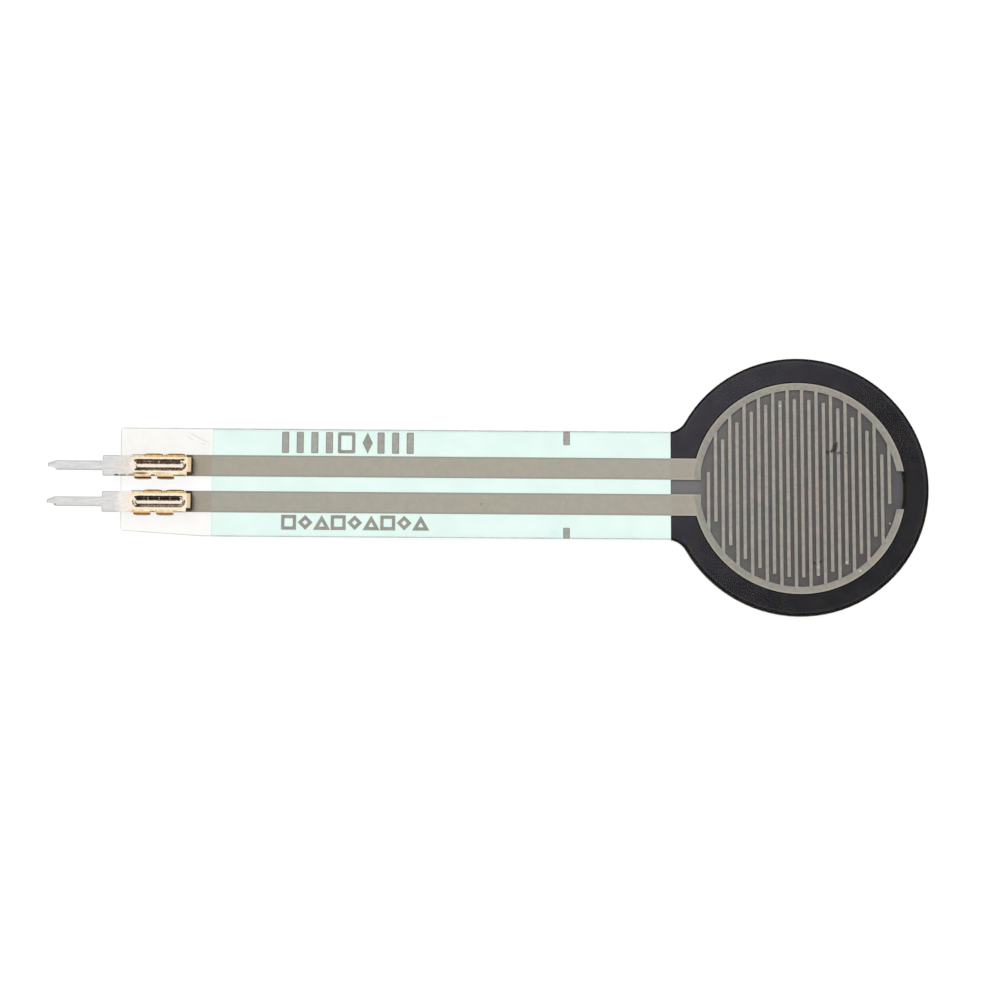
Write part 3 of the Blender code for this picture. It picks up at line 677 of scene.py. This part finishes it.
def teeth_look(look, body, contact, on_gold):
    """Painted shade on the bent teeth: amber over their bends, a darker line at the crease and a
    brown line along their ends.
    """
    across = look.minus(look.y, contact["middle"])
    # Painted shade: a broken darker line along the crease where the teeth start to bend
    off_crease = look.off(look.maths("ABSOLUTE", across), CREASE)
    broken = look.fade(look.noise(0.22), 0.42, 0.58)
    crease_shade = look.times(look.fade(off_crease, 0.05, 0.02), broken, 0.45, on_gold)
    body = look.blend(crease_shade, body, linear(176, 146, 88))

    # Painted shade: golden over the far teeth's bends, amber over the near teeth's bends
    on_top = look.times(look.fade(look.z, FILM_TOP - 0.04, FILM_TOP), on_gold)
    far = look.times(look.fade(across, 0.6, 0.66), look.fade(look.x, *FAR_TEETH_SPAN), on_top)
    golden = two_tone(look, 0.3, linear(206, 158, 86), linear(230, 194, 124))
    body = look.blend(look.times(far, 0.95), body, golden)
    near = look.times(look.fade(across, 0.06 - PLATE_HALF, -0.01 - PLATE_HALF), on_top)
    amber = two_tone(look, 0.3, linear(226, 172, 104), linear(244, 206, 150))
    body = look.blend(look.times(near, 0.95), body, amber)

    # Painted shade: brown lines along the ends of the far and near teeth, where they turn down
    far_line = look.fade(across, TOOTH_REACH - 0.13, TOOTH_REACH - 0.09)
    body = look.blend(look.times(far_line, on_top, 0.97), body, linear(92, 52, 14))
    near_line = look.fade(across, 0.13 - TOOTH_REACH, 0.08 - TOOTH_REACH)
    return look.blend(look.times(near_line, on_top, 0.97), body, linear(*contact["rim"]))


def tip_look(look, body, middle):
    """The pin's point, sheared: a painted highlight on its lower facet, painted shade on its upper
    facet and along its front edge.
    """
    across = look.minus(look.y, middle)
    back = look.minus(look.x, PIN_TIP)
    facet = look.minus(look.off(across, -0.04), look.times(back, 0.26))
    facet = look.times(look.fade(facet, 0.03, 0.06), look.fade(back, 0.62, 0.5))
    below = look.fade(across, 0.02, -0.04)
    body = look.blend(look.times(facet, below), body, linear(253, 253, 252))
    above = look.minus(1.0, below)
    body = look.blend(look.times(facet, above, 0.5), body, linear(190, 189, 188))
    front = look.fade(back, 0.08, 0.03)
    return look.blend(look.times(front, 0.7), body, linear(178, 177, 176))


def plating(look, contact, along):
    """The flat sheet's colour: brushed tin, then a pale band of painted glare where tin gives way
    to gold, then gold.
    """
    streak = look.fade(look.noise(0.1, 3.0, 0.6, (0.12, 1.0, 1.0)), 0.3, 0.7)
    tin = look.blend(streak, linear(214, 213, 212), linear(231, 230, 229))
    tin = mottle(look, tin, 0.22, (0.98, 0.98, 0.985), (1.015, 1.015, 1.01))
    glare_low, glare_high = [linear(*shade) for shade in contact["glare"]]
    glare = two_tone(look, 0.2, glare_low, glare_high)
    gold = two_tone(look, 0.4, linear(250, 229, 186), linear(255, 242, 218))
    # Painted glare over the span where tin gives way to gold
    body = look.blend(look.fade(along, *GLARE_SPAN), tin, glare)
    return look.blend(look.fade(along, *GOLD_SPAN), body, gold)


def bend_look(look, body, on_gold):
    """Brown painted shade where the gold turns steeply down, tan on the tab, and painted shade at
    the tab's rolled end.
    """
    level = look.maths("ABSOLUTE", facing_up(look))
    above_film = look.fade(look.z, FILM_TOP - 0.04, FILM_TOP)
    steep_shade = look.times(look.fade(level, 0.6, 0.25), on_gold, above_film)
    body = look.blend(look.times(steep_shade, 0.9), body, linear(92, 52, 18))
    tab = look.fade(look.x, PLATE_END + 0.02, PLATE_END + 0.1)
    body = look.blend(look.times(tab, 0.8), body, linear(222, 194, 154))
    tab_end_shade = look.fade(look.x, TAB_END - 0.13, TAB_END - 0.08)
    return look.blend(look.times(tab_end_shade, 0.97), body, linear(34, 16, 6))


def contact_look(name, contact):
    """Stamped contact: tin on the pin, gold on the crimp, painted glare between them, and painted
    shade and highlights where it is bent and pressed.
    """
    look = Look(name)
    wander = look.times(look.minus(look.noise(0.45, 4.0, 0.65), 0.5), 1.1)
    along = look.plus(look.x, wander)
    on_gold = look.fade(along, *GLOSS_SPAN)
    body = plating(look, contact, along)
    body = edge_look(look, body, contact)
    body = teeth_look(look, body, contact, on_gold)
    body = tip_look(look, body, contact["middle"])
    body = bend_look(look, body, on_gold)
    body = trough_look(look, body, contact)
    # Brown marks: partly stains, partly painted shade along the plate's near edge
    body = look.blend(look.marks(contact["stains_and_shade"]), body, linear(74, 48, 34))
    look.set(Base_Color=body, Metallic=1.0)

    grain = look.noise(0.1, 4.0, 0.6)
    rough = look.blend(on_gold, (0.45, 0.45, 0.45), (0.22, 0.22, 0.22))
    look.set(Roughness=look.plus(rough, look.fade(grain, 0.3, 0.7, -0.05, 0.08)))
    waves = look.plus(look.noise(0.45, 1.0), look.times(grain, 0.15))
    look.bump(waves, 0.012, 0.5)
    return look.material


def dress(material, *nodes):
    for name in nodes:
        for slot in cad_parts[name].material_slots:
            slot.material = material


def dress_part():
    names = list(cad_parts)
    bars = [name for name in names if name.startswith("code_bar") or name.endswith("_tick")]
    marks = [name for name in names if name.startswith("margin")]
    dress(electrode_look(), "upper_electrode", "lower_electrode")
    dress(bar_look(), *bars)
    dress(mark_look(), "code_frame", "code_lozenge", *marks)
    dress(carbon_look(), "carbon_layer")
    dress(spacer_look(), "spacer")
    dress(base_film_look(), "resistive_film")
    dress(rear_adhesive_look(), "rear_adhesive")
    dress(film_look(), "electrode_film")
    dress(cover_look(), "tail_cover")
    dress(contact_look("upper_plating", UPPER), "upper_contact")
    dress(contact_look("lower_plating", LOWER), "lower_contact")


def direct_rays(tree):
    """1 for rays that show the studio itself, 0 for those that carry its light."""
    light = tree.nodes.new("ShaderNodeLightPath")
    seen, *others = [light.outputs[name] for name in DIRECT_RAYS]
    for socket in others:
        add = tree.nodes.new("ShaderNodeMath")
        add.use_clamp = True
        tree.links.new(seen, add.inputs[0])
        tree.links.new(socket, add.inputs[1])
        seen = add.outputs[0]
    return seen


def floor_look():
    """Pale floor that shows white to the camera and keeps the object's shadow."""
    look = Look("white_floor")
    shade = (FLOOR_SHADE, FLOOR_SHADE, FLOOR_SHADE)
    look.set(Base_Color=shade, Roughness=1.0, Specular_IOR_Level=0.0)
    glow = look.times(direct_rays(look.tree), FLOOR_GLOW)
    look.set(Emission_Color=(1.0, 1.0, 1.0), Emission_Strength=glow)
    return look.material


def make_floor():
    half = FLOOR_SIZE / 2
    corners = [(-half, -half), (half, -half), (half, half), (-half, half)]
    mesh = bpy.data.meshes.new("floor")
    mesh.from_pydata([(x, y, -FLOOR_DROP) for x, y in corners], [], [(0, 1, 2, 3)])
    mesh.materials.append(floor_look())
    floor = bpy.data.objects.new("floor", mesh)
    bpy.context.scene.collection.objects.link(floor)


def make_world():
    """Even white surroundings, dimmer for the light they give than for how they look."""
    world = bpy.data.worlds.new("studio")
    bpy.context.scene.world = world
    world.use_nodes = True
    tree = world.node_tree
    level = tree.nodes.new("ShaderNodeMapRange")
    level.inputs["To Min"].default_value = WORLD_LEVEL
    level.inputs["To Max"].default_value = 1.0
    tree.links.new(direct_rays(tree), level.inputs["Value"])
    background = tree.nodes["Background"]
    background.inputs["Color"].default_value = (1.0, 1.0, 1.0, 1.0)
    tree.links.new(level.outputs[0], background.inputs["Strength"])


def make_lamp(name, place, power):
    """A round lamp that looks at the frame's origin and leaves no highlight of its own."""
    lamp = bpy.data.lights.new(name, "AREA")
    lamp.shape = "DISK"
    lamp.size = LAMP_SIZE
    lamp.energy = power
    holder = bpy.data.objects.new(name, lamp)
    holder.location = place
    holder.rotation_euler = (-Vector(place)).to_track_quat("-Z", "Y").to_euler()
    holder.visible_glossy = False
    bpy.context.scene.collection.objects.link(holder)


def make_camera():
    camera = bpy.data.cameras.new("camera")
    camera.lens = LENS
    camera.sensor_width = SENSOR
    camera.clip_start = CLIP_START
    holder = bpy.data.objects.new("camera", camera)
    holder.location = CAMERA_PLACE
    holder.rotation_euler = Euler([math.radians(turn) for turn in CAMERA_TURN])
    bpy.context.scene.collection.objects.link(holder)
    bpy.context.scene.camera = holder


dress_part()
make_floor()
make_world()
make_lamp("key", KEY_PLACE, KEY_POWER)
make_lamp("fill", FILL_PLACE, FILL_POWER)
make_camera()
bpy.context.scene.view_settings.view_transform = "Standard"
